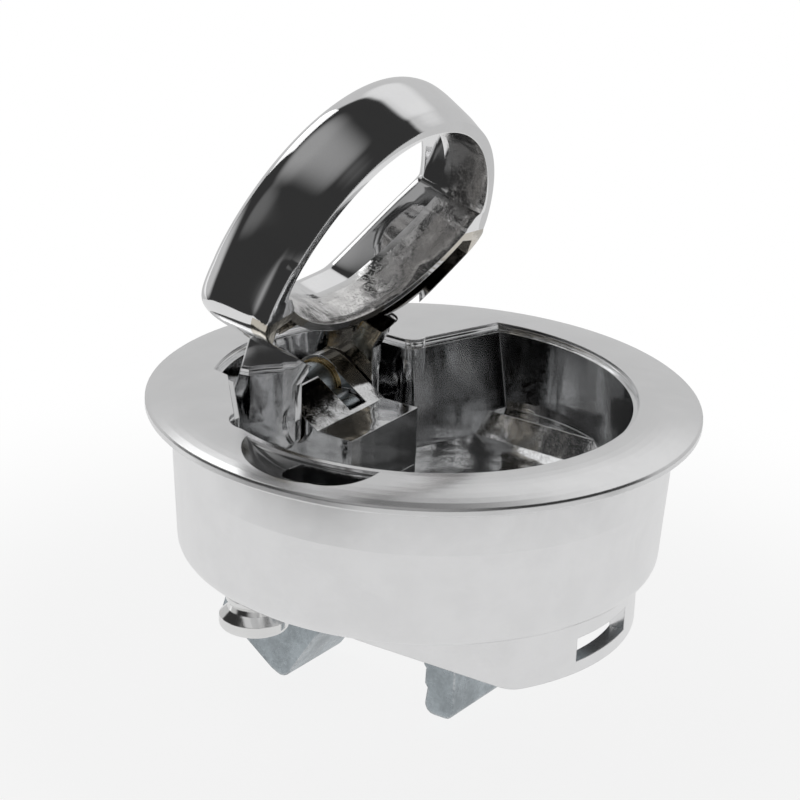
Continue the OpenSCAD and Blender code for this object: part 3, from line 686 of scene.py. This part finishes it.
def ring_boolean(b, name, operation):
    """One exact Boolean on the ring, applied, and the tool removed."""
    mesh = bpy.data.meshes.new(name)
    b.to_mesh(mesh)
    b.free()
    tool = bpy.data.objects.new(name, mesh)
    bpy.context.scene.collection.objects.link(tool)
    mod = ring.modifiers.new(operation, "BOOLEAN")
    mod.operation = operation
    mod.object = tool
    mod.solver = "EXACT"
    bpy.context.view_layer.update()
    shape = ring.evaluated_get(bpy.context.evaluated_depsgraph_get())
    result = bpy.data.meshes.new_from_object(shape)
    ring.modifiers.clear()
    ring.data = result
    bpy.data.objects.remove(tool)


print("solid helpers ready")

# %% [markdown]
# ## The legs
# Two legs stand at the narrow end and carry the ring on its shaft. Each is a flat plate with
# a round eye at the hinge and a pointed foot, and its corners are rounded a little, as they
# come out of the mould.

# %% Two legs with rounded corners
LEG_IN, LEG_OUT, LEG_R, FOOT_H = 8.5, 10.7, 4.4, 7.1
LEG_ROOT_X = -8.5
LEG_ROUND, ROUND_STEPS = 0.35, 3
LEVEL = 1e-6


def leg_outline():
    """From the neck to the hinge's eye, round it, and back along the foot."""
    hx, hz = HINGE.x, HINGE.z
    root = [(LEG_ROOT_X, RIM + 0.6), (LEG_ROOT_X, TOP - 0.5), (hx + 2, hz + LEG_R - 0.2)]
    foot = [(hx - 3.4, hz - 4.6), (hx - 1.6, hz - FOOT_H + 0.4), (hx, hz - FOOT_H),
            (hx + 7.6, hz - 4.45)]
    return root + arc(hx, hz, LEG_R, 84, 200, 40) + foot


for y in (-LEG_OUT, LEG_IN):
    leg = plate(leg_outline(), y, LEG_OUT - LEG_IN, upright=True)
    corners = [e for e in leg.edges if abs(e.verts[0].co.y - e.verts[1].co.y) < LEVEL]
    bmesh.ops.bevel(leg, geom=corners, offset=LEG_ROUND, segments=ROUND_STEPS, profile=0.5,
                    affect="EDGES")
    ring_boolean(leg, "leg", "UNION")
print("faces with the legs:", len(ring.data.polygons))

# %% [markdown]
# ## The hollow in the neck
# A casting is hollowed where it would be thick, so that it cools evenly and weighs less.
# Between the hole and the hinge the ring is only a plate on top and a thin shell around,
# open towards the hinge, with two ribs that stiffen the plate. The hollow's outline follows
# the flanks and the hole's wall at one shell's thickness.

# %% The hollow and its ribs
PLATE_T, SHELL_T = 2.0, 1.3
HOLLOW_Y, HOLLOW_TIP, HOLLOW_OPEN_X = 20.8, (1.4, 23.4), -30
WALL_STEPS = 24
BELOW_RIM = 1
RIB_T, RIB_Z, RIB_TOP_Z = 1, -3.7, TOP - 2.2
RIB_YS = (-5.6, 0.4)
RIB = [(-11, RIB_TOP_Z), (-3.6, RIB_TOP_Z), (-3.6, RIB_Z), (-6.5, RIB_Z)]


def flank_x(y, inset):
    """X of the ring's straight flank at this y, moved in by inset."""
    f = math.radians(FUNNEL_A)
    return (y * math.sin(f) - FUNNEL_D + inset) / math.cos(f)


def neck_outline():
    r, cx = HOLE_FLAT_R + SHELL_T, HOLE_X0 + HOLE_FLAT_R
    wall = [(cx - math.sqrt(r * r - y * y), y)
            for y in (HOLLOW_Y * i / WALL_STEPS for i in range(-WALL_STEPS, WALL_STEPS + 1))]
    tip_x, tip_y = HOLLOW_TIP
    flank = [(HOLLOW_OPEN_X, LEG_IN), (flank_x(LEG_IN, SHELL_T), LEG_IN),
             (flank_x(tip_y, SHELL_T), tip_y), (tip_x, tip_y)]
    return [(x, -y) for x, y in flank] + wall + flank[::-1]


hollow = plate(neck_outline(), RIM - BELOW_RIM, TOP - PLATE_T - RIM + BELOW_RIM)
ring_boolean(hollow, "hollow", "DIFFERENCE")
for y in RIB_YS:
    ring_boolean(plate(RIB, y, RIB_T, upright=True), "rib", "UNION")
print("faces with the hollow:", len(ring.data.polygons))

# %% [markdown]
# Each leg has a shallow lens-shaped recess on the outside of its foot. The hole for the
# shaft goes through one leg and ends blind in the other, which hides the shaft's end.

# %% Recesses and the hole for the shaft
LENS_X, LENS_Z, LENS_R = HINGE.x + 2.8, HINGE.z - 8.0, 3.6
LENS_DEEP, LENS_PAST = 0.5, 1.0
SHAFT_R, BLIND_WALL = 2.0, 0.7
for y in (LEG_OUT - LENS_DEEP, -LEG_OUT - LENS_PAST):
    lens_cut = plate(arc(LENS_X, LENS_Z, LENS_R, 0, 357, 60), y, LENS_DEEP + LENS_PAST,
                     upright=True)
    ring_boolean(lens_cut, "lens", "DIFFERENCE")
shaft_hole = plate(arc(HINGE.x, HINGE.z, SHAFT_R, 0, 355, 48), -LEG_OUT + BLIND_WALL,
                   2 * LEG_OUT, upright=True)
ring_boolean(shaft_hole, "shaft_hole", "DIFFERENCE")
print("ring faces:", len(ring.data.polygons))

# %% [markdown]
# ## The ring's rough skin
# The skin is written on the corners of the ring's faces while it still lies closed, because
# there the rule is simple. The hole's wall is rough over its lower half and fades to a polish
# above it. In the hollow the share is smaller, and a second value marks where shade is painted
# in as a darker, browner tint. The share is set face by face, so that it stops at an edge and
# doesn't spread over a large flat face next to it.

# %% Mark the rough skin
ROUGH_TOP, ROUGH_FADE, NECK_SHARE = -4.6, 2.0, 0.35
WALL_SLACK, RIM_SLACK, STEEP = 0.3, 0.1, 0.6
LEG_SLACK, PLATE_SLACK, SHELL_END_X = 0.05, 0.1, 3
SHELL_FROM_HOLE, SHELL_FROM_FLANK = SHELL_T - 0.3, SHELL_T - 0.25
cast = ring.data.attributes.new("cast", "FLOAT", "CORNER")
# neck marks the faces in the hollow, where a darker, browner tint paints in shade.
neck = ring.data.attributes.new("neck", "FLOAT", "CORNER")


def polar(v):
    """Angle and distance of a point, seen from above, about the point in the hole."""
    return math.atan2(v.y, v.x - HOLE_MID_X), math.hypot(v.x - HOLE_MID_X, v.y)


def on_hole_wall(face):
    """Whether a face is on the hole's wall, which leans in as it rises."""
    a, r = polar(face.center)
    rim_r, top_r = hole_at_rim(a), hole_at_top(a)
    z = face.center.z
    wall_r = rim_r - (rim_r - top_r) * max(0, z - RIM) / (TOP - RIM)
    return r < wall_r + WALL_SLACK and abs(face.normal.z) < STEEP and z > RIM + RIM_SLACK


def off_flank(v):
    """How far a point is inside the ring's outer outline."""
    a, r = polar(v)
    return ring_out(a) - r


def in_hollow(face):
    """Whether a face is under the plate, and either between the legs or within the shell."""
    if face.center.z >= TOP - PLATE_T + PLATE_SLACK:
        return False
    corners = [ring.data.vertices[k].co for k in face.vertices]
    if all(abs(v.y) < LEG_IN + LEG_SLACK and v.x < HOLE_X0 for v in corners):
        return True
    a, r = polar(face.center)
    behind_wall = face.center.x < SHELL_END_X and r - hole_at_rim(a) > SHELL_FROM_HOLE
    return behind_wall and all(off_flank(v) > SHELL_FROM_FLANK for v in corners)


neck_faces = 0
for face in ring.data.polygons:
    on_wall = on_hole_wall(face)
    in_neck = not on_wall and in_hollow(face)
    neck_faces += in_neck
    for k in face.loop_indices:
        z = ring.data.vertices[ring.data.loops[k].vertex_index].co.z
        fade = 1 - step(z, ROUGH_TOP, ROUGH_TOP + ROUGH_FADE)
        cast.data[k].value = NECK_SHARE if in_neck else fade if on_wall else 0.0
        neck.data[k].value = 1.0 if in_neck else 0.0
print("faces in the hollow:", neck_faces)

# %% [markdown]
# Last, the ring turns up about its hinge, as the picture shows it, and takes the place of
# the CAD model's ring on the joint named handle. Its faces are smooth, apart from the edges
# where two of them meet at a clear angle.

# %% Raise the ring
SHARP = math.radians(28)
to_hinge, from_hinge = Matrix.Translation(-HINGE), Matrix.Translation(HINGE)
turn_up = from_hinge @ Matrix.Rotation(-RAISE, 4, "Y") @ to_hinge
ring.data.transform(Matrix.Scale(MM, 4) @ turn_up)
ring.data.polygons.foreach_set("use_smooth", [True] * len(ring.data.polygons))
ring.data.set_sharp_from_angle(angle=SHARP)
ring.data.materials.clear()
ring.data.materials.append(finishes["bright_chrome"])
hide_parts("ring_handle")
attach(ring, "handle")
print("ring box in mm:", [round(v * 1000, 1) for v in ring.dimensions])

# %% [markdown]
# ## The end of the script
# Last, the scene's colours are shown through Blender's Standard view transform.

# %% Finish
bpy.context.scene.view_settings.view_transform = "Standard"
